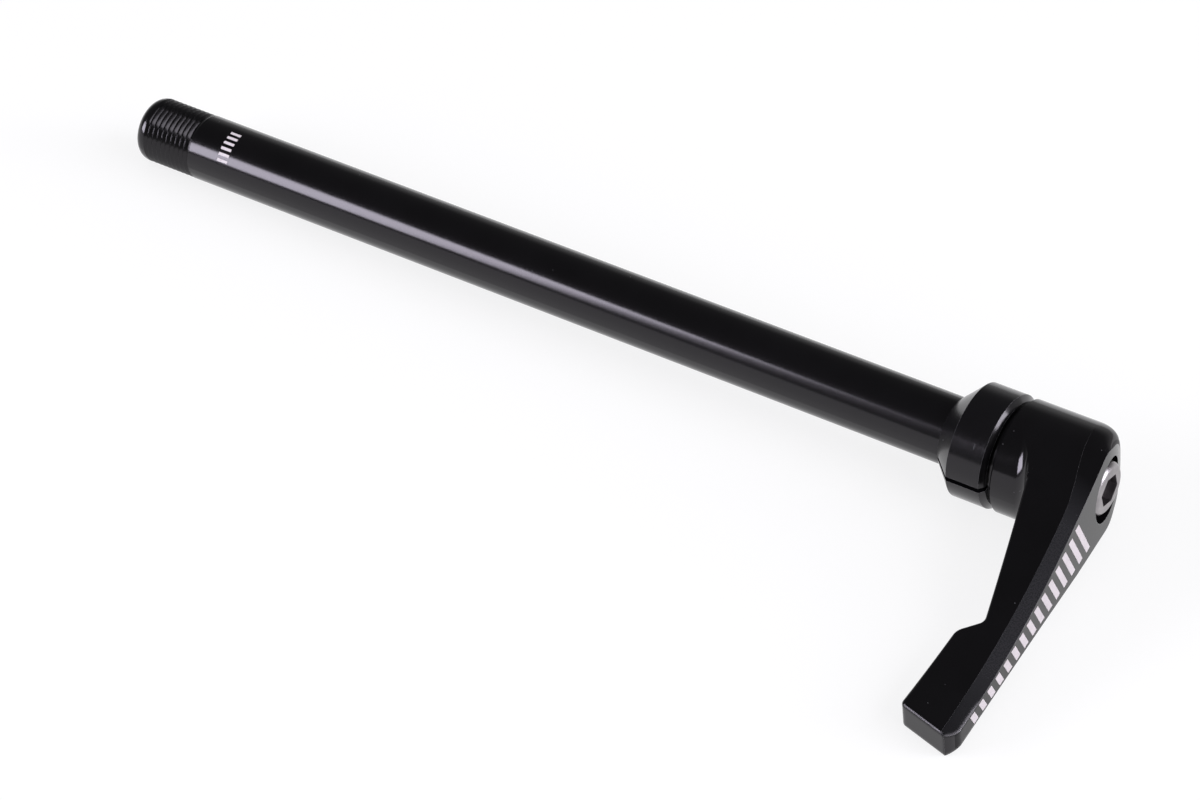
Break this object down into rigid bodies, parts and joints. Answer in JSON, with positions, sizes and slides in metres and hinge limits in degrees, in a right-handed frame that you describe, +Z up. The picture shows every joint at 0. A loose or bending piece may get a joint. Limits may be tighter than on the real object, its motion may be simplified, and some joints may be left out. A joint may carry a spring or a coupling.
{
  "type": "rear thru axle",
  "caption": "Rear thru axle: a smooth black shaft with a fine-threaded tip, a conical split collar that centres it in the frame, and a tapered lever bolted on its serrated end.",
  "frame": {"origin": "on the axle's axis, in the plane of the collar's front edge, where its cone meets its rim", "axes": "+Y along the axle from the threaded tip to the lever, +Z up with the axle lying as it comes to rest, +X to the side that the lever points to"},
  "size_m": [0.0702, 0.2007, 0.0206],
  "materials": {
    "shaft_black": "semi-gloss black anodised",
    "collar_black": "turned, black anodised",
    "lever_black": "forged, glossy black anodised",
    "bolt_steel": "satin stainless"
  },
  "bodies": {
    "axle": {"axle_shaft": "shaft_black", "lever": "lever_black", "lever_bolt": "bolt_steel"},
    "collar": {"split_collar": "collar_black"}
  },
  "joints": [
    {"name": "collar_swivel", "type": "hinge", "parent": "axle", "child": "collar", "pos_m": [0, 0, 0], "axis": [0, 1, 0], "continuous": true}
  ]
}
